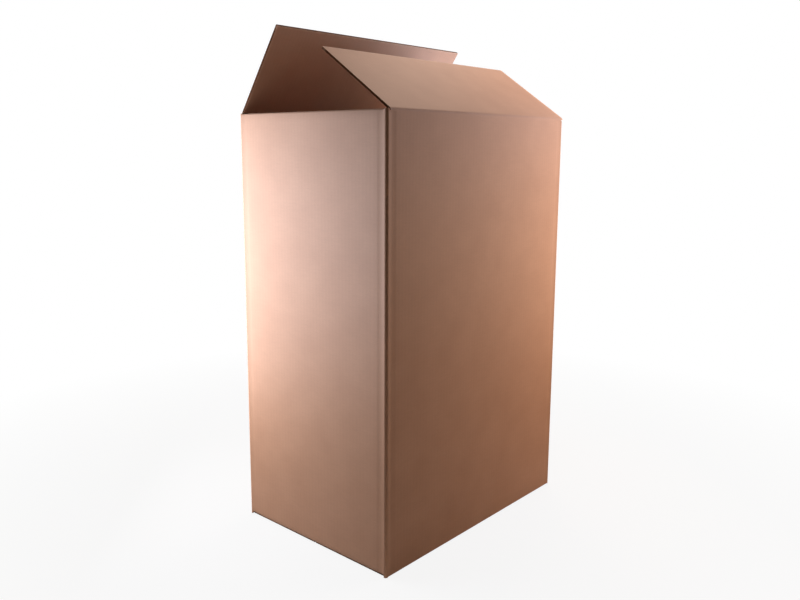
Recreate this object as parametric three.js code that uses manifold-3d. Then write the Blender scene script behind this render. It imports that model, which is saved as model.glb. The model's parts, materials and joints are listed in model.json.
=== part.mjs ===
// A tall corrugated box: a regular slotted carton folded from one sheet of board.
// Its bottom flaps are folded shut, its two short top flaps are folded in,
// and its two long top flaps lean inwards on their creases like an uneven tent.
// Millimetres, +Z up. The origin is the middle of the base, and the long panels run along X.

import * as THREE from "three";
import { mergeVertices } from "three/addons/utils/BufferGeometryUtils.js";
import Module from "manifold-3d";

// Driving dimensions
const LENGTH = 510; // outside, along the long panels
const WIDTH = 357; // outside, along the end panels
const HEIGHT = 760; // floor to the creases of the long top flaps
const BOARD = 4.2; // thickness of the single-wall board
const FOLD_RADIUS = 0.6; // inside radius of every fold
const SEAM_GAP = 2; // between two long flaps that are folded shut
const CORNER_SLOT = 6; // from a corner to the flap beside it
const LONG_FLAP_SLOT = 4; // the same at the two long top flaps, whose slots are cut narrower
const WIDE_SLOT = 8; // the same at the front flap's left end and the rear flap's glued end
const SLOT_FOOT = 1.5; // from the floor up to the lower end of each corner
const FRONT_LEAN = 55.9; // the front flap's angle inwards from upright
const REAR_LEAN = 34.8; // the rear flap's
const END_FLAP_DROOP = 3; // how far the short top flaps sag below level
const FLAP_CLEARANCE = 0.3; // between a long top flap folded shut and what it closes on
const CREASE_GAP = 0.3; // across the crease of a flap that swings
const TAB_WIDTH = 35; // the glue tab inside the closed corner
const TAB_TAPER = 12; // how much lower each end of the tab is at its free edge
const JOINT_GAP = 2; // from the closed corner back to the cut edge of the panel glued over the tab
const GLUE_BITE = 0.1; // how far glued layers press into each other
const FLAP_CORNER = 1.5; // worn corners of the long top flaps
const ARC_STEPS = 6; // faces round a fold
const WELD = 1; // how far a flap's fold is drawn into its wall, so that the two join
const ROUNDING = 0.001; // outlines are rounded to this, so that faces that should meet do

// Sizes that follow
const outerRadius = FOLD_RADIUS + BOARD;
const flapReach = (WIDTH - SEAM_GAP) / 2;
const endFoot = BOARD - GLUE_BITE;
const endHead = HEIGHT - BOARD - FLAP_CLEARANCE;
const tabFace = LENGTH / 2 - BOARD + GLUE_BITE;
const frontEnds = [-LENGTH / 2 + CORNER_SLOT, LENGTH / 2 - CORNER_SLOT];
const rearEnds = [-LENGTH / 2 + CORNER_SLOT, tabFace - outerRadius];
const mitreSetback = CREASE_GAP / 2;
const wallFoot = endFoot + outerRadius;
const wallHead = endHead - outerRadius;

const wasm = await Module();
wasm.setup();

// A closed three.js geometry as a solid that can be joined and cut
function solid(geometry) {
  const bare = geometry.clone();
  bare.deleteAttribute("normal");
  bare.deleteAttribute("uv");
  const merged = mergeVertices(bare, 1e-4);
  const numProp = 3;
  const vertProperties = new Float32Array(merged.attributes.position.array);
  const triVerts = new Uint32Array(merged.index.array);
  return new wasm.Manifold(new wasm.Mesh({ numProp, vertProperties, triVerts }));
}

// A solid as a three.js geometry with flat faces
function geometryOf(body) {
  const mesh = body.getMesh();
  const geometry = new THREE.BufferGeometry();
  const points = new THREE.BufferAttribute(new Float32Array(mesh.vertProperties), mesh.numProp);
  geometry.setAttribute("position", points);
  geometry.setIndex(new THREE.BufferAttribute(new Uint32Array(mesh.triVerts), 1));
  const flat = geometry.toNonIndexed();
  flat.computeVertexNormals();
  return flat;
}

const rounded = (point) => point.multiplyScalar(1 / ROUNDING).round().multiplyScalar(ROUNDING);

// The section of a strip of board, walked along its outer face with the inside on the left.
// A step is a straight run in millimetres or a fold to the left in degrees.
function foldedStrip(start, heading, steps) {
  const outer = [];
  const inner = [];
  const point = start.clone();
  const along = new THREE.Vector2(Math.cos(heading), Math.sin(heading));
  const inward = new THREE.Vector2(-along.y, along.x);
  const mark = () => {
    outer.push(rounded(point.clone()));
    inner.push(rounded(point.clone().addScaledVector(inward, BOARD)));
  };
  mark();
  for (const { run, fold } of steps) {
    if (run !== undefined) {
      point.addScaledVector(along, run);
      mark();
      continue;
    }
    const centre = point.clone().addScaledVector(inward, outerRadius);
    const turn = THREE.MathUtils.degToRad(fold) / ARC_STEPS;
    const pivot = new THREE.Vector2();
    for (let i = 0; i < ARC_STEPS; i++) {
      point.rotateAround(centre, turn);
      along.rotateAround(pivot, turn);
      inward.rotateAround(pivot, turn);
      mark();
    }
  }
  return { outer, inner };
}

function outline({ outer, inner }) {
  return new THREE.Shape([...outer, ...inner.toReversed()]);
}

// A section drawn in plan, raised from one height to another
function upright(shape, bottom, top) {
  const geometry = new THREE.ExtrudeGeometry(shape, { depth: top - bottom, bevelEnabled: false });
  return geometry.translate(0, 0, bottom);
}

// A section drawn as (y, z), run along X
function alongX(shape, from, to) {
  const geometry = new THREE.ExtrudeGeometry(shape, { depth: to - from, bevelEnabled: false });
  const toYZ = new THREE.Matrix4().makeBasis(
    new THREE.Vector3(0, 1, 0),
    new THREE.Vector3(0, 0, 1),
    new THREE.Vector3(1, 0, 0),
  );
  return geometry.applyMatrix4(toYZ).translate(from, 0, 0);
}

// A section drawn as (x, z), run along Y
function alongY(shape, from, to) {
  const geometry = new THREE.ExtrudeGeometry(shape, { depth: to - from, bevelEnabled: false });
  return geometry.rotateX(Math.PI / 2).translate(0, to, 0);
}

// The four walls in plan: rear, left end, front, and the right end up to its cut edge
function wallOutline() {
  const start = new THREE.Vector2(tabFace - outerRadius, WIDTH / 2);
  return outline(
    foldedStrip(start, Math.PI, [
      { run: tabFace + LENGTH / 2 - 2 * outerRadius },
      { fold: 90 },
      { run: WIDTH - 2 * outerRadius },
      { fold: 90 },
      { run: LENGTH - 2 * outerRadius },
      { fold: 90 },
      { run: WIDTH - outerRadius - JOINT_GAP },
    ]),
  );
}

// The rear panel's last fold, which turns inside the right end panel and carries the glue tab
function tabFoldOutline() {
  const start = new THREE.Vector2(tabFace, WIDTH / 2 - outerRadius);
  return outline(foldedStrip(start, Math.PI / 2, [{ fold: 90 }]));
}

// The glue tab itself, a plate with tapered ends drawn as (y, z)
function glueTab() {
  const root = WIDTH / 2 - outerRadius;
  const edge = root - TAB_WIDTH;
  const foot = endFoot + 2 * outerRadius;
  const head = endHead - 2 * outerRadius;
  const shape = new THREE.Shape([
    new THREE.Vector2(root, foot),
    new THREE.Vector2(root, head),
    new THREE.Vector2(edge, head - TAB_TAPER),
    new THREE.Vector2(edge, foot + TAB_TAPER),
  ]);
  return alongX(shape, tabFace - BOARD, tabFace);
}

// Below the front panel: its fold and its bottom flap, drawn as (y, z)
function longFoot([left, right]) {
  const strip = foldedStrip(new THREE.Vector2(-WIDTH / 2, wallFoot + WELD), -Math.PI / 2, [
    { run: WELD + wallFoot - outerRadius },
    { fold: 90 },
    { run: flapReach - outerRadius },
  ]);
  return alongX(outline(strip), left, right);
}

// The head of the front panel, mitred where the swinging flap is creased
function longHead([left, right]) {
  const head = HEIGHT - mitreSetback;
  const shape = new THREE.Shape([
    new THREE.Vector2(-WIDTH / 2, wallHead - WELD),
    new THREE.Vector2(-WIDTH / 2 + BOARD, wallHead - WELD),
    new THREE.Vector2(-WIDTH / 2 + BOARD, head - BOARD),
    new THREE.Vector2(-WIDTH / 2, head),
  ]);
  return alongX(shape, left, right);
}

// Below the left end panel: its fold and its bottom flap, drawn as (x, z)
function endFootFlap() {
  const strip = foldedStrip(new THREE.Vector2(-LENGTH / 2, wallFoot + WELD), -Math.PI / 2, [
    { run: WELD },
    { fold: 90 },
    { run: flapReach - outerRadius },
  ]);
  return alongY(outline(strip), -WIDTH / 2 + CORNER_SLOT, WIDTH / 2 - CORNER_SLOT);
}

// Above the left end panel: its fold and its short top flap, which sags a little
function endTopFlap() {
  const droop = THREE.MathUtils.degToRad(END_FLAP_DROOP);
  const crease = new THREE.Vector2(-LENGTH / 2 + outerRadius, wallHead);
  const tip = new THREE.Vector2(-LENGTH / 2 + flapReach, endHead).rotateAround(crease, -droop);
  const strip = foldedStrip(tip, Math.PI - droop, [
    { run: flapReach - outerRadius },
    { fold: 90 + END_FLAP_DROOP },
    { run: WELD },
  ]);
  return alongY(outline(strip), -WIDTH / 2 + CORNER_SLOT, WIDTH / 2 - CORNER_SLOT);
}

// The four walls. At foot and head only the corners reach on to the slots' ends,
// because the panels between them turn into flaps there.
function walls() {
  const upTo = (bottom, top) =>
    solid(upright(wallOutline(), bottom, top)).add(solid(upright(tabFoldOutline(), bottom, top)));
  const box = (x, y, z) =>
    solid(
      new THREE.BoxGeometry(x[1] - x[0], y[1] - y[0], z[1] - z[0]).translate(
        (x[0] + x[1]) / 2,
        (y[0] + y[1]) / 2,
        (z[0] + z[1]) / 2,
      ),
    );
  let body = upTo(SLOT_FOOT, endHead);
  for (const heights of [
    [-BOARD, wallFoot],
    [wallHead, HEIGHT],
  ]) {
    const endFlaps = [-WIDTH / 2 + CORNER_SLOT, WIDTH / 2 - CORNER_SLOT];
    body = body
      .subtract(box(frontEnds, [-WIDTH, 0], heights))
      .subtract(box(rearEnds, [0, WIDTH], heights))
      .subtract(box([-LENGTH, LENGTH], endFlaps, heights));
  }
  return body;
}

// The carton: walls, glued corner, bottom flaps and short top flaps, all one folded sheet
function carton() {
  const halfTurn = [0, 0, 180];
  const turnedEnds = rearEnds.map((end) => -end).toReversed();
  const endFlaps = [solid(endFootFlap()), solid(endTopFlap())];
  const pieces = [
    solid(glueTab()),
    solid(longFoot(frontEnds)),
    solid(longHead(frontEnds)),
    solid(longFoot(turnedEnds)).rotate(halfTurn),
    solid(longHead(turnedEnds)).rotate(halfTurn),
    ...endFlaps,
    ...endFlaps.map((flap) => flap.rotate(halfTurn)),
  ];
  return pieces.reduce((all, piece) => all.add(piece), walls());
}

// A long top flap standing upright on its crease, which is at the origin, with the inside at +Y.
// Its root is mitred so that it folds level inwards or right back outwards.
function longFlap(leftSlot, rightSlot) {
  const left = -LENGTH / 2 + leftSlot;
  const right = LENGTH / 2 - rightSlot;
  const face = new THREE.Shape();
  face.moveTo(left, 0);
  face.lineTo(right, 0);
  face.lineTo(right, flapReach - FLAP_CORNER);
  face.lineTo(right - FLAP_CORNER, flapReach);
  face.lineTo(left + FLAP_CORNER, flapReach);
  face.lineTo(left, flapReach - FLAP_CORNER);
  face.closePath();
  const board = solid(alongY(face, 0, BOARD));
  const section = new THREE.Shape([
    new THREE.Vector2(0, mitreSetback),
    new THREE.Vector2(BOARD, BOARD + mitreSetback),
    new THREE.Vector2(BOARD, 2 * flapReach),
    new THREE.Vector2(0, 2 * flapReach),
  ]);
  return board.intersect(solid(alongX(section, -LENGTH, LENGTH)));
}

const kraft = (colour) =>
  new THREE.MeshStandardMaterial({ color: colour, roughness: 0.88, metalness: 0 });

const group = new THREE.Group();

function addMesh(name, body, colour, parent) {
  const mesh = new THREE.Mesh(geometryOf(body), kraft(colour));
  mesh.name = name;
  parent.add(mesh);
}

addMesh("carton", carton(), "#b58a6c", group);

// The front flap's crease runs along the head of the front panel
const frontHinge = new THREE.Group();
frontHinge.position.set(0, -WIDTH / 2, HEIGHT);
frontHinge.rotation.x = -THREE.MathUtils.degToRad(FRONT_LEAN);
group.add(frontHinge);
addMesh("front_flap", longFlap(WIDE_SLOT, LONG_FLAP_SLOT), "#b88e71", frontHinge);

// The rear flap is the same flap turned to face the other way
const rearSide = new THREE.Group();
rearSide.rotation.z = Math.PI;
group.add(rearSide);
const rearHinge = new THREE.Group();
rearHinge.position.set(0, -WIDTH / 2, HEIGHT);
rearHinge.rotation.x = -THREE.MathUtils.degToRad(REAR_LEAN);
rearSide.add(rearHinge);
addMesh("rear_flap", longFlap(WIDE_SLOT, LONG_FLAP_SLOT), "#b08566", rearHinge);

export default group;
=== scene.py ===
# A tall corrugated box that stands open, its long top flaps leaning inwards like an uneven tent.
# Metres, +Z up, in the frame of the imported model.

import json
import math

import bmesh
import bpy
from mathutils import Matrix, Vector


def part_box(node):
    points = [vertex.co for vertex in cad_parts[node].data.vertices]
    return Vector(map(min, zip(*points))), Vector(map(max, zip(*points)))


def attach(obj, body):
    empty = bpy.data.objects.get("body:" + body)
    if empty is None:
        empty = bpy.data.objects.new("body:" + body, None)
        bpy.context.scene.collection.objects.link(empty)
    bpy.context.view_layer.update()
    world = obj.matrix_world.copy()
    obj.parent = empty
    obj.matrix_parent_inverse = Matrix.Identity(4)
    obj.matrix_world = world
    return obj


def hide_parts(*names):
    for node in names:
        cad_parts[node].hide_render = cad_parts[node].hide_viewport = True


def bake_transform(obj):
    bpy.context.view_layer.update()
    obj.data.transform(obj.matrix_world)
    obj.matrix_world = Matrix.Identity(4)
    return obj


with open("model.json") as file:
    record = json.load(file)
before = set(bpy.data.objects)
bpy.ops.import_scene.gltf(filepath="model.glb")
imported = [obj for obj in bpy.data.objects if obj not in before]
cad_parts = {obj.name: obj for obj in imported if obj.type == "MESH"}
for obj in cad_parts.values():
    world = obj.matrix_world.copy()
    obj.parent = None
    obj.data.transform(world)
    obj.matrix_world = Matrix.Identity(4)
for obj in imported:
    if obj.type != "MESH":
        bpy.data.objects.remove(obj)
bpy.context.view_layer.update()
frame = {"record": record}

# The blank
# The box is one sheet of single-wall board: kraft liners on both sides of a fluted medium. A machine
# slots and creases it flat. Here it is cut flat too, in the front panel's plane, outer face towards -Y.
MM = 0.001
NEAR = 0.01 * MM  # points closer than this count as one place
BOARD = 4.2 * MM
FLUTE_PITCH = 7.9 * MM  # C flute
FOLD_RADIUS = BOARD + 0.6 * MM  # outside, at every fold that is pressed shut
FOLD_LINES = 6  # lines that a fold bends at
GLUE_LINE = 0.1 * MM  # between glued layers
SEAM = 2 * MM  # between long flaps that are folded shut
SLOT = 6 * MM  # from a corner to the flap beside it
SLOT_FOOT = 1.5 * MM  # from the floor to the slots' ends
GLUED_SLOT = 0.5 * MM  # from the glue tab's fold to the flap beside it
TAB = 35 * MM
TAB_TAPER = 12 * MM
TAB_END = 14 * MM  # from the panel's foot or head to the tab's end
JOINT_GAP = 2 * MM  # from the glued corner to the cut edge of the panel over the tab
CREASE_WIDTH = 6.2 * MM  # the soft bend of a flap that leans
CREASE_START = 3.3 * MM  # how far below its corner line such a bend begins
END_DROOP = math.radians(3)  # the short top flaps sag this much below level
END_GAP = 0.3 * MM  # between a long top flap folded shut and the short one under it
OFF_CENTRE = 2 * MM  # the top flaps were cut unequal, the front one deeper
NOTCH = 4.1 * MM  # half the width of the groove that the scorer leaves inside a leaning flap's crease
NOTCH_WEB = 0.9 * MM  # board left at its bottom
TAB_STEPS = 4
WALL_STEPS = 14  # rows of faces up a wall, so that it can bow
FLAP_STEPS = 6  # the same on a flap
BOTTOM_ROWS = (-160 * MM, -12 * MM)
TOP_ROWS = (14 * MM, 160 * MM)  # above the long creases

low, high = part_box("carton")
hinges = {joint["child"]: Vector(joint["pos_m"]) for joint in frame["record"]["behaviour"]["joints"]}
LENGTH = high[0] - low[0]
WIDTH = high[1] - low[1]
CREASE = hinges["front_flap"].z
FRONT = -WIDTH / 2
REACH = (WIDTH - SEAM) / 2
END_FOOT = BOARD + GLUE_LINE
END_HEAD = CREASE - BOARD - END_GAP


def fold_width(angle):
    """The run of board, on its outer face, that a fold takes up."""
    return FOLD_LINES * 2 * FOLD_RADIUS * math.tan(angle / 2 / FOLD_LINES)


def fold_lines(start, width):
    return [start + width * (k + 0.5) / FOLD_LINES for k in range(FOLD_LINES)]


def spread(start, end, steps):
    return [start + (end - start) * k / steps for k in range(steps + 1)]


# From left to right the blank is the glue tab, rear, left end, front and right end panel.
SQUARE = math.pi / 2
corner = fold_width(SQUARE)
runs = [
    ("tab", TAB, 0, 0),
    ("rear", LENGTH - BOARD - GLUE_LINE - 2 * FOLD_RADIUS, GLUED_SLOT, SLOT - FOLD_RADIUS),
    ("left", WIDTH - 2 * FOLD_RADIUS, SLOT - FOLD_RADIUS, SLOT - FOLD_RADIUS),
    ("front", LENGTH - 2 * FOLD_RADIUS, SLOT - FOLD_RADIUS, SLOT - FOLD_RADIUS),
    ("right", WIDTH - FOLD_RADIUS - JOINT_GAP, SLOT - FOLD_RADIUS, SLOT - JOINT_GAP),
]
panels = {}
flap_sides = {}
corners = []
columns = []
x = -LENGTH / 2 + FOLD_RADIUS - sum(run for _, run, _, _ in runs[:3]) - 3 * corner
for name, run, left_cut, right_cut in runs:
    panels[name] = (x, x + run)
    if name == "tab":
        columns += spread(x, x + run, TAB_STEPS)
    else:
        sides = (x + left_cut, x + run - right_cut)
        flap_sides[name] = sides
        half_flutes = 2 * round((sides[1] - sides[0]) / FLUTE_PITCH)
        columns += [x, *spread(*sides, half_flutes), x + run]
    x += run
    if name != "right":
        corners.append(fold_lines(x, corner))
        columns += corners[-1]
        x += corner

# Up the blank, each kind of panel has its own crease heights and flap ends.
long_foot = FOLD_RADIUS - corner
end_foot = END_FOOT + FOLD_RADIUS - corner
end_head = END_HEAD - FOLD_RADIUS
long_head = CREASE - CREASE_START
droop_width = fold_width(SQUARE + END_DROOP)
folds = {
    "long_foot": fold_lines(long_foot, corner),
    "end_foot": fold_lines(end_foot, corner),
    "end_head": fold_lines(end_head, droop_width),
    "long_head": fold_lines(long_head, CREASE_WIDTH),
}
long_tip = long_head + CREASE_WIDTH + REACH - CREASE_START
end_tips = (end_foot - REACH + FOLD_RADIUS, end_head + droop_width + REACH - FOLD_RADIUS)
tips = {
    "front": (long_foot - REACH + FOLD_RADIUS, long_tip + OFF_CENTRE),
    "rear": (long_foot - REACH + FOLD_RADIUS, long_tip - OFF_CENTRE),
    "left": end_tips,
    "right": end_tips,
}
kinds = {"front": "long", "rear": "long", "left": "end", "right": "end"}
crease_middle = long_head + CREASE_WIDTH / 2
rows = [*folds["long_foot"], *folds["end_foot"], *folds["end_head"], *folds["long_head"]]
rows += [*tips["front"], *tips["rear"], *end_tips, SLOT_FOOT, END_HEAD]
rows += [crease_middle - NOTCH, crease_middle + NOTCH]
rows += spread(TAB_END, END_HEAD - TAB_END, WALL_STEPS)
rows += spread(*BOTTOM_ROWS, FLAP_STEPS)
rows += spread(CREASE + TOP_ROWS[0], CREASE + TOP_ROWS[1], FLAP_STEPS)


def distinct(values):
    kept = []
    for value in sorted(values):
        if not kept or value - kept[-1] > NEAR:
            kept.append(value)
    return kept


columns = distinct(columns)
rows = distinct(rows)

# A vertex drawn along the foot of the blank, then that edge drawn up it
board = bmesh.new()
last = board.verts.new((columns[0], FRONT, rows[0]))
for left, right in zip(columns, columns[1:]):
    drawn = bmesh.ops.extrude_vert_indiv(board, verts=[last])
    last = drawn["verts"][0]
    bmesh.ops.translate(board, vec=(right - left, 0, 0), verts=[last])
edge_row = board.edges[:]
for bottom, top in zip(rows, rows[1:]):
    drawn = bmesh.ops.extrude_edge_only(board, edges=edge_row)["geom"]
    new_verts = [item for item in drawn if isinstance(item, bmesh.types.BMVert)]
    bmesh.ops.translate(board, vec=(0, 0, top - bottom), verts=new_verts)
    new_set = set(new_verts)
    edge_row = [
        item for item in drawn
        if isinstance(item, bmesh.types.BMEdge) and all(v in new_set for v in item.verts)
    ]


def panel_at(x, table):
    for name, (start, end) in table.items():
        if start < x < end:
            return name
    return None


# Slots between the flaps, the flaps' ends and the space above and below the tab are cut away
waste = []
for face in board.faces:
    centre = face.calc_center_median()
    flap = panel_at(centre.x, flap_sides)
    if flap:
        bottom, top = tips[flap]
    elif panel_at(centre.x, panels) == "tab":
        bottom, top = TAB_END, END_HEAD - TAB_END
    else:
        bottom, top = SLOT_FOOT, END_HEAD
    if not bottom < centre.z < top:
        waste.append(face)
bmesh.ops.delete(board, geom=waste, context="FACES")
tab_root = panels["tab"][1]
middle = END_HEAD / 2
for v in board.verts:
    if v.co.x < tab_root:
        share = 1 - TAB_TAPER / middle * (tab_root - v.co.x) / TAB
        v.co.z = middle + (v.co.z - middle) * share

# The long top flaps' slots are cut off centre, so that the front flap stands to the right
FRONT_INSETS = (9 * MM, 1 * MM)  # from the box's left and right ends
REAR_INSET = 5 * MM  # from its left end
GLUED_TRIM = 1 * MM  # off the rear flap's end at the glued corner
TRIM_SPAN = 16 * MM  # the flutes nearest the end are squeezed or stretched by the same cut
trims = {
    "front": (FRONT_INSETS[0] - SLOT, SLOT - FRONT_INSETS[1]),
    "rear": (GLUED_TRIM, SLOT - REAR_INSET),
}
for name, (at_left, at_right) in trims.items():
    left, right = flap_sides[name]
    for v in board.verts:
        if left - NEAR < v.co.x < right + NEAR and v.co.z > long_head:
            v.co.x += at_left * max(0, 1 - (v.co.x - left) / TRIM_SPAN)
            v.co.x += at_right * max(0, 1 - (right - v.co.x) / TRIM_SPAN)

STRIP_MARGINS = (1 * MM, SLOT - 0.8 * MM)  # furthest that a trimmed flap reaches past its old sides


def on_strip(x, name):
    """Whether x on the blank belongs to the column of flaps above and below the named panel."""
    left, right = flap_sides[name]
    return left - STRIP_MARGINS[0] < x < right + STRIP_MARGINS[1]


# Worn corners of the long top flaps, then the thickness of the board
WORN_CORNER = 0.9 * MM
flap_corners = [
    v for v in board.verts
    if len(v.link_edges) == 2 and min(abs(v.co.z - tips[kind][1]) for kind in ("front", "rear")) < NEAR
]
bmesh.ops.bevel(
    board, geom=flap_corners, affect="VERTICES", offset=WORN_CORNER, segments=2, profile=0.5, material=-1
)
bmesh.ops.recalc_face_normals(board, faces=board.faces)
outward = sum(face.normal.y for face in board.faces)
if outward > 0:
    bmesh.ops.reverse_faces(board, faces=board.faces[:])
bmesh.ops.solidify(board, geom=board.faces[:], thickness=BOARD)
bmesh.ops.recalc_face_normals(board, faces=board.faces)

# Cut edges across the flutes show the wave: a zigzag of medium between open flute ends
POCKET = 9 * MM  # how deep the open flute ends are modelled
LINER = 0.32 * MM
PLY_DRAFT = 0.02 * MM  # how much a pocket or groove narrows towards its bottom


def cut_faces(left, right, tip, facing):
    """The faces of a flap's cut tip, in order from left to right."""
    found = []
    for face in board.faces:
        centre = face.calc_center_median()
        if face.normal.z * facing > 0.9 and abs(centre.z - tip) < NEAR and left < centre.x < right:
            found.append(face)
    return sorted(found, key=lambda face: face.calc_center_median().x)


for name, (left, right) in flap_sides.items():
    for tip, facing in zip(tips[name], (-1, 1)):
        rim = cut_faces(left, right, tip, facing)
        rim_set = set(rim)
        uprights = set()
        for face in rim:
            for edge in face.edges:
                a, b = edge.verts
                if abs(a.co.x - b.co.x) < NEAR and all(met in rim_set for met in edge.link_faces):
                    uprights.add(edge)
        for count, face in enumerate(rim):
            outer = sorted((v for v in face.verts if v.co.y < FRONT + BOARD / 2), key=lambda v: v.co.x)
            inner = sorted((v for v in face.verts if v.co.y > FRONT + BOARD / 2), key=lambda v: v.co.x)
            ends = (outer[0], inner[1]) if count % 2 == 0 else (inner[0], outer[1])
            bmesh.utils.face_split(face, *ends)
        bmesh.ops.dissolve_edges(board, edges=list(uprights), use_verts=False)
        lobes = cut_faces(left, right, tip, facing)
        bmesh.ops.inset_individual(board, faces=lobes, thickness=LINER, use_even_offset=True)
        bmesh.ops.inset_individual(board, faces=lobes, thickness=PLY_DRAFT, depth=-POCKET)

# Cut edges along the flutes show both liners with a groove between them
GROOVE = 3 * MM  # how deep it is
TIP_MARGIN = 2 * MM  # from the flap's tip to the groove's end
SMALL_FACE = 5 * MM * MM  # the faces round a worn corner are smaller than this, and keep their shape
for name, sides in flap_sides.items():
    if kinds[name] != "long":
        continue
    for side, facing in zip(sides, (-1, 1)):
        strip = [
            face for face in board.faces
            if face.normal.x * facing > 0.9
            and abs(face.calc_center_median().x - side) < STRIP_MARGINS[1]
            and crease_middle + NOTCH < face.calc_center_median().z < tips[name][1] - TIP_MARGIN
            and len(face.verts) == 4
            and face.calc_area() > SMALL_FACE
        ]
        bmesh.ops.inset_region(board, faces=strip, thickness=LINER, use_even_offset=True)
        bmesh.ops.inset_region(board, faces=strip, thickness=PLY_DRAFT, depth=-GROOVE)

# Inside the crease of a leaning flap the scorer has crushed the board to a groove
for name in ("front", "rear"):
    for v in board.verts:
        away = abs(v.co.z - crease_middle)
        if on_strip(v.co.x, name) and v.co.y > FRONT + BOARD / 2 and away < NOTCH - NEAR:
            v.co.y = FRONT + NOTCH_WEB + (BOARD - NOTCH_WEB) * away / NOTCH

# Every point keeps its place on the flat blank, which the paper's pattern follows
blank = board.verts.layers.float_vector.new("blank")
for v in board.verts:
    v[blank] = v.co
cut = board.faces.layers.float.new("cut")
for face in board.faces:
    across = abs(face.normal.y) < 0.5
    inside = abs(face.calc_center_median().y - FRONT - BOARD / 2) < BOARD / 2 - PLY_DRAFT
    face[cut] = 1.0 if across or inside else 0.0

# Handling rubs the liners' rims along every cut edge
worn = board.verts.layers.float.new("worn")
for v in board.verts:
    kinds_met = {face[cut] for face in v.link_faces}
    v[worn] = 1.0 if len(kinds_met) == 2 else 0.0

# The outer face over the upright corners is painted paler: partly the stretched liner of the fold, partly
# painted light that lifts the shade on the corners' rounding
stretched_and_painted_light = board.verts.layers.float.new("stretched_and_painted_light")
for v in board.verts:
    for lines in corners:
        away = abs(v.co.x - (lines[0] + lines[-1]) / 2)
        if away < corner / 2 and v.co.y < FRONT + BOARD / 2:
            v[stretched_and_painted_light] = 1 - away / (corner / 2)

# Folding has pressed a shallow band into the board beside each upright corner
BAND = 12.5 * MM  # from the corner's edge
BAND_WIDTH = 5 * MM
BAND_DEPTH = 0.5 * MM
for name, (start, end) in panels.items():
    if name == "tab":
        continue
    for v in board.verts:
        if start < v.co.x < end and SLOT_FOOT < v.co.z < END_HEAD:
            away = min(v.co.x - start, end - v.co.x) + FOLD_RADIUS
            v.co.y += BAND_DEPTH * math.exp(-(((away - BAND) / BAND_WIDTH) ** 2))

# Panels bow in a little between their folds
BOW = {"front": 1.3 * MM, "rear": 1.0 * MM, "left": 0.9 * MM, "right": 0.8 * MM}
for v in board.verts:
    name = panel_at(v.co.x, panels)
    if name in BOW and end_foot + corner < v.co.z < end_head:
        start, end = panels[name]
        across = math.sin(math.pi * (v.co.x - start) / (end - start))
        up = math.sin(math.pi * (v.co.z - end_foot - corner) / (end_head - end_foot - corner))
        v.co.y += BOW[name] * across * up


# A flap turns with its panel, even where its end reaches past the panel's corner
place = board.verts.layers.float_vector.new("place")
for v in board.verts:
    v[place] = v[blank]
    for name, (start, end) in panels.items():
        if name in kinds and on_strip(v[blank].x, name) and not SLOT_FOOT < v[blank].z < END_HEAD:
            v[place].x = min(max(v[blank].x, start), end)


def fold(verts, lines, angle, axis, side):
    """Bends the board at each line by an equal share of angle, starting with the line furthest out."""
    share = angle / len(lines)
    coordinate = 2 if axis == "X" else 0
    for line in sorted(lines, key=lambda value: side * value, reverse=True):
        pivot = Vector((0, FRONT, line)) if axis == "X" else Vector((line, FRONT, 0))
        beyond = [v for v in verts if side * (v[place][coordinate] - line) > NEAR / 2]
        on_line = [v for v in verts if abs(v[place][coordinate] - line) <= NEAR / 2]
        bmesh.ops.rotate(board, cent=pivot, matrix=Matrix.Rotation(share, 3, axis), verts=beyond)
        bmesh.ops.rotate(board, cent=pivot, matrix=Matrix.Rotation(share / 2, 3, axis), verts=on_line)


# The flaps are folded first, then the panels round the front one
leans = {"front": math.radians(55.9), "rear": math.radians(34.8)}  # inwards from upright
for name, kind in kinds.items():
    left, right = flap_sides[name]
    mine = [
        v for v in board.verts
        if left - NEAR < v[blank].x < right + NEAR
        or on_strip(v[blank].x, name) and not SLOT_FOOT - NEAR < v[blank].z < END_HEAD + NEAR
    ]
    fold(mine, folds[kind + "_foot"], SQUARE, "X", -1)
    fold(mine, folds[kind + "_head"], -leans.get(name, SQUARE + END_DROOP), "X", 1)
for lines in corners[:3]:
    fold(board.verts, lines, -SQUARE, "Z", -1)
fold(board.verts, corners[3], SQUARE, "Z", 1)
board.verts.layers.float_vector.remove(place)

# The left end's top fold springs back to a crest that stands level with the long creases
CREST = 5 * MM
CREST_FOOT = 735 * MM
CREST_RUN = (3.8 * MM, 8.6 * MM)  # from the start of the fold, over which the crest falls away


def ease(value, start, end):
    share = min(1, max(0, (value - start) / (end - start)))
    return share * share * (3 - 2 * share)


crest_start = panels["rear"][1] - NEAR
crest_end = panels["front"][0] + NEAR
for v in board.verts:
    if crest_start < v[blank].x < crest_end and v[blank].z > CREST_FOOT:
        rise = ease(v[blank].z, CREST_FOOT, end_head)
        fall = ease(v[blank].z - end_head, *CREST_RUN)
        v.co.z += CREST * rise * (1 - fall)

# The sheet as three pieces
# It is one sheet of board, but each long top flap swings on its crease. So the carton and each of
# those flaps is a piece of its own, parted in the middle of the crease, where the two still meet.
split = folds["long_head"][FOLD_LINES // 2 - 1]
SHARP = math.radians(30)  # folds of the mesh above this angle are drawn as edges
BLEND = 0.25 * MM  # length of an offset across each flap's crease, worked out below and not used


def piece(name, wanted):
    part = board.copy()
    layer = part.verts.layers.float_vector["blank"]
    faces = [f for f in part.faces if not wanted(sum((v[layer] for v in f.verts), Vector()) / len(f.verts))]
    bmesh.ops.delete(part, geom=faces, context="FACES")
    bmesh.ops.holes_fill(part, edges=[e for e in part.edges if e.is_boundary], sides=0)
    bmesh.ops.recalc_face_normals(part, faces=part.faces)
    for face in part.faces:
        face.smooth = True
    for edge in part.edges:
        if len(edge.link_faces) == 2 and edge.calc_face_angle() > SHARP:
            edge.smooth = False
    mesh = bpy.data.meshes.new(name)
    part.to_mesh(mesh)
    part.free()
    made = bpy.data.objects.new(name, mesh)
    bpy.context.collection.objects.link(made)
    return made


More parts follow.
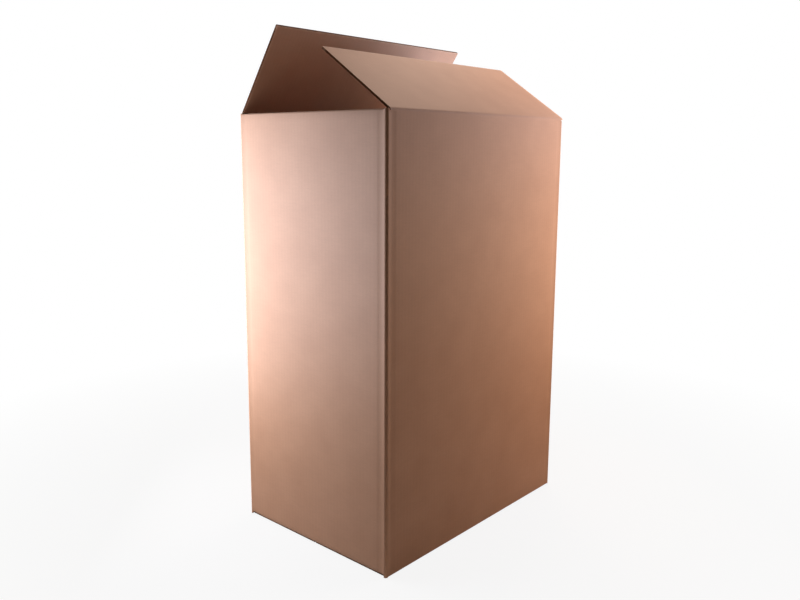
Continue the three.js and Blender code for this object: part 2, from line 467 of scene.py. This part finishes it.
def on_flap(point, name):
    return point.z > split and on_strip(point.x, name)


carton = piece("carton_board", lambda p: not on_flap(p, "front") and not on_flap(p, "rear"))
front_flap = piece("front_flap_board", lambda p: on_flap(p, "front"))
rear_flap = piece("rear_flap_board", lambda p: on_flap(p, "rear"))
board.free()

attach(carton, "carton")
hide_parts("carton")
for flap, side in ((front_flap, "front"), (rear_flap, "rear")):
    body = side + "_flap"
    hinge = hinges[body]
    lean = leans[side]
    inward = 1 if hinge.y < 0 else -1
    across = Vector((0, inward * math.sin(lean / 2), math.cos(lean / 2))) * BLEND
    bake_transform(flap)
    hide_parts(body)


# The board's material
# Kraft liner on both faces, unbleached and smoothed by rollers, which leaves a dull sheen. It is brown
# with a faint cloud and long fibres that lie across the flutes. Faint darker bands at the flute pitch are
# painted shade of the liner sagging between the flutes, which also show through as bumps.
# The cut edges show the open medium, which is darker, rougher and nearly without sheen.
def linear(colour):
    value = [int(colour[k:k + 2], 16) / 255 for k in (1, 3, 5)]
    return [c / 12.92 if c <= 0.04045 else ((c + 0.055) / 1.055) ** 2.4 for c in value] + [1]


def add(tree, kind, settings=None, inputs=None):
    """Adds a node, sets its properties, then sets or links each input."""
    made = tree.nodes.new(kind)
    for key, value in (settings or {}).items():
        setattr(made, key, value)
    for key, value in (inputs or {}).items():
        if isinstance(value, bpy.types.NodeSocket):
            tree.links.new(value, made.inputs[key])
        else:
            made.inputs[key].default_value = value
    return made


LINER_COLOUR = "#c08b67"
LINER_DARK = "#b37f5c"
LINER_PALE = "#c99572"
FIBRE_COLOUR = "#9b7250"
FLUTE_SHADE_COLOUR = "#8d6546"
SPECK_COLOUR = "#7c5a3e"
SCUFF_COLOUR = "#d2ab8c"
STRETCHED_AND_PAINTED_LIGHT_COLOUR = "#e3a579"
MEDIUM_COLOUR = "#9c7153"
MEDIUM_DARK = "#84583c"
CLOUD = 55 * MM
CLOUD_SHARE = 0.3
FIBRE = (14 * MM, 1.6 * MM)  # along and across, a few times real size so that it shows
FIBRE_SHARE = 0.10
FLUTE_SHADE_SHARE = 0.05
SPECK = 2.4 * MM  # between specks, coarser than real so that they show
SPECK_SIZE = (0.10, 0.14)  # from a speck's middle to its rim, as shares of that distance
SPECK_SHARE = 0.30
SCUFF = 6 * MM  # length of the rubbed patches along the cut edges
SCUFF_SHARE = (0.1, 0.7)  # between patches and on them
MEDIUM_SHARE = 0.5
LINER_ROUGHNESS = 0.68
LINER_SHEEN = 0.8
MEDIUM_ROUGHNESS = 0.95
MEDIUM_SHEEN = 0.2
WASHBOARD = 0.05 * MM  # how far the flutes show through the liner
NAP = 0.08 * MM  # height of the fibres
BUMP = 0.5
WAVE = math.pi / 10  # period of a wave texture at scale 1


def kraft(name):
    material = bpy.data.materials.new(name)
    material.use_nodes = True
    tree = material.node_tree
    shader = tree.nodes["Principled BSDF"]

    def stored(layer, output="Fac"):
        return add(tree, "ShaderNodeAttribute", {"attribute_name": layer}).outputs[output]

    def noise(vector, scale, detail):
        inputs = {"Vector": vector, "Scale": scale, "Detail": detail}
        return add(tree, "ShaderNodeTexNoise", inputs=inputs).outputs["Fac"]

    def mixed(share, first, second):
        return add(tree, "ShaderNodeMix", {"data_type": "RGBA"}, {0: share, 6: first, 7: second}).outputs[2]

    def remap(value, from_low, from_high, to_low, to_high):
        ends = {0: value, 1: from_low, 2: from_high, 3: to_low, 4: to_high}
        return add(tree, "ShaderNodeMapRange", inputs=ends).outputs[0]

    flat = stored("blank", "Vector")
    cloud = noise(flat, 1 / CLOUD, 4)
    stretch = {"Vector": flat, "Scale": (1 / FIBRE[0], 1 / FIBRE[1], 1 / FIBRE[1])}
    fibre = noise(add(tree, "ShaderNodeMapping", inputs=stretch).outputs[0], 1, 3)
    flutes = add(
        tree, "ShaderNodeTexWave", {"bands_direction": "X", "wave_profile": "SIN"},
        {"Vector": flat, "Scale": WAVE / FLUTE_PITCH, "Distortion": 0},
    ).outputs["Fac"]
    cells = add(tree, "ShaderNodeTexVoronoi", inputs={"Vector": flat, "Scale": 1 / SPECK})
    specks = cells.outputs["Distance"]
    patches = remap(noise(flat, 1 / SCUFF, 2), 0.35, 0.65, *SCUFF_SHARE)
    rubbed = {0: stored("worn"), 1: patches}
    scuffed = add(tree, "ShaderNodeMath", {"operation": "MULTIPLY"}, rubbed).outputs[0]
    cut_edge = stored("cut")

    base = mixed(remap(cloud, 0.3, 0.7, 0, 1), linear(LINER_DARK), linear(LINER_PALE))
    base = mixed(CLOUD_SHARE, linear(LINER_COLOUR), base)
    base = mixed(remap(fibre, 0.35, 0.7, 0, FIBRE_SHARE), base, linear(FIBRE_COLOUR))
    # Painted shade: the liner is darkened in bands at the flute pitch, where it sags between the flutes.
    base = mixed(remap(flutes, 0, 1, 0, FLUTE_SHADE_SHARE), base, linear(FLUTE_SHADE_COLOUR))
    base = mixed(remap(specks, *SPECK_SIZE, SPECK_SHARE, 0), base, linear(SPECK_COLOUR))
    base = mixed(scuffed, base, linear(SCUFF_COLOUR))
    # Painted light, partly stretched liner: the upright corners are made paler to lift the shade on their
    # rounding.
    base = mixed(stored("stretched_and_painted_light"), base, linear(STRETCHED_AND_PAINTED_LIGHT_COLOUR))
    medium = mixed(remap(fibre, 0.3, 0.7, 0, MEDIUM_SHARE), linear(MEDIUM_COLOUR), linear(MEDIUM_DARK))
    tree.links.new(mixed(cut_edge, base, medium), shader.inputs["Base Color"])
    tree.links.new(remap(cut_edge, 0, 1, LINER_ROUGHNESS, MEDIUM_ROUGHNESS), shader.inputs["Roughness"])
    tree.links.new(remap(cut_edge, 0, 1, LINER_SHEEN, MEDIUM_SHEEN), shader.inputs["Specular IOR Level"])

    ridges = {"Height": flutes, "Distance": WASHBOARD, "Strength": BUMP}
    under = add(tree, "ShaderNodeBump", inputs=ridges).outputs["Normal"]
    nap = {"Height": fibre, "Distance": NAP, "Strength": BUMP, "Normal": under}
    tree.links.new(add(tree, "ShaderNodeBump", inputs=nap).outputs["Normal"], shader.inputs["Normal"])
    return material


liner = kraft("kraft_liner")
for made in (carton, front_flap, rear_flap):
    made.data.materials.append(liner)

# The camera
# It stands at the photograph's viewpoint, which was found from the box's corners: a little below the
# long creases, off the near corner, and tilted down.
PHOTO_WIDTH = 800
FOCAL_LENGTH = 782.57  # in the photograph's pixels, as are the shifts
SHIFT = (-1.7, -16.6)
SENSOR = 36
VIEWPOINT = (-1.1295, -0.9831, 0.6997)
HEADING = math.radians(48.51)
PITCH = math.radians(-9.75)
ROLL = math.radians(0.33)
camera_data = bpy.data.cameras.new("camera")
camera_data.sensor_width = SENSOR
camera_data.lens = SENSOR * FOCAL_LENGTH / PHOTO_WIDTH
camera_data.shift_x = SHIFT[0] / PHOTO_WIDTH
camera_data.shift_y = SHIFT[1] / PHOTO_WIDTH
camera = bpy.data.objects.new("camera", camera_data)
bpy.context.collection.objects.link(camera)
bpy.context.scene.camera = camera
forward = Vector((
    math.sin(HEADING) * math.cos(PITCH),
    math.cos(HEADING) * math.cos(PITCH),
    math.sin(PITCH),
))
camera.matrix_world = (
    Matrix.Translation(VIEWPOINT)
    @ forward.to_track_quat("-Z", "Y").to_matrix().to_4x4()
    @ Matrix.Rotation(ROLL, 4, "Z")
)

# The floor and the background
# The box stands on painted white board. The camera sees it nearly as white as the background, with a
# soft shadow round the box. Only the camera sees that white, since nothing here is metal or glass.
FLOOR_SIZE = 30
FLOOR_PAINT = "#cbc5be"
PAINT_ROUGHNESS = 0.9
FLOOR_WHITE = (0.88, 1)  # share of white at the box and away from it
WHITE_RUN = (0.3, 1.3)  # from the middle of the box, between those two
WORLD_LIGHT = 0.03
WHITE = (1, 1, 1, 1)
floor_shape = bmesh.new()
bmesh.ops.create_grid(floor_shape, x_segments=1, y_segments=1, size=FLOOR_SIZE)
floor_mesh = bpy.data.meshes.new("floor")
floor_shape.to_mesh(floor_mesh)
floor_shape.free()
floor = bpy.data.objects.new("floor", floor_mesh)
bpy.context.collection.objects.link(floor)
floor_material = bpy.data.materials.new("matt_white_board")
floor_material.use_nodes = True
floor_mesh.materials.append(floor_material)
tree = floor_material.node_tree
paint = tree.nodes["Principled BSDF"]
paint.inputs["Base Color"].default_value = linear(FLOOR_PAINT)
paint.inputs["Roughness"].default_value = PAINT_ROUGHNESS
glow = add(tree, "ShaderNodeEmission", inputs={"Color": WHITE, "Strength": 1}).outputs[0]
ray = add(tree, "ShaderNodeLightPath").outputs["Is Camera Ray"]
spot = add(tree, "ShaderNodeTexCoord").outputs["Object"]
away = add(tree, "ShaderNodeVectorMath", {"operation": "LENGTH"}, {0: spot}).outputs["Value"]
run = {0: away, 1: WHITE_RUN[0], 2: WHITE_RUN[1], 3: FLOOR_WHITE[0], 4: FLOOR_WHITE[1]}
white = add(tree, "ShaderNodeMapRange", inputs=run).outputs[0]
share = add(tree, "ShaderNodeMath", {"operation": "MULTIPLY"}, {0: ray, 1: white}).outputs[0]
surface = add(tree, "ShaderNodeMixShader", inputs={0: share, 1: paint.outputs[0], 2: glow}).outputs[0]
tree.links.new(surface, tree.nodes["Material Output"].inputs["Surface"])

world = bpy.data.worlds.new("world")
bpy.context.scene.world = world
world.use_nodes = True
tree = world.node_tree
sky = tree.nodes["Background"]
sky.inputs["Color"].default_value = WHITE
ray = add(tree, "ShaderNodeLightPath").outputs["Is Camera Ray"]
strength = add(tree, "ShaderNodeMapRange", inputs={0: ray, 3: WORLD_LIGHT, 4: 1}).outputs[0]
tree.links.new(strength, sky.inputs["Strength"])

# The lamps
# Square soft lamps stand low and close at both far corners, so both near walls darken towards the
# corner between them. One hangs overhead, and a small one shines in at the tent's right end.
# Bearing in degrees from +X, distance from the box's axis, height, height aimed at, size, watts, colour
LAMPS = {
    "left_low": (135, 0.6, 0.45, 0.5, 0.5, 5.6, (0.85, 0.89, 1.0)),
    "left_high": (145, 0.6, 0.7, 0.5, 0.5, 2.2, (0.64, 0.78, 1.0)),
    "right_low": (-40, 0.7, 0.5, 0.5, 0.5, 2.3, (1.0, 0.75, 0.57)),
    "right_high": (-40, 0.7, 0.9, 0.5, 0.5, 3.5, (0.87, 0.88, 1.0)),
    "overhead": (20, 0.8, 1.6, 0.5, 0.5, 9.7, (1.0, 0.78, 0.65)),
    "right_end": (-4, 0.68, 0.47, 0.95, 0.3, 4.6, (0.56, 0.76, 1.0)),
}
for name, (bearing, distance, height, aim, size, power, colour) in LAMPS.items():
    data = bpy.data.lights.new(name, "AREA")
    data.size = size
    data.energy = power
    data.color = colour
    lamp = bpy.data.objects.new(name, data)
    angle = math.radians(bearing)
    lamp.location = (distance * math.cos(angle), distance * math.sin(angle), height)
    towards = Vector((0, 0, aim)) - lamp.location
    lamp.rotation_euler = towards.to_track_quat("-Z", "Y").to_euler()
    lamp.visible_camera = False
    bpy.context.collection.objects.link(lamp)

bpy.context.scene.view_settings.view_transform = "Standard"
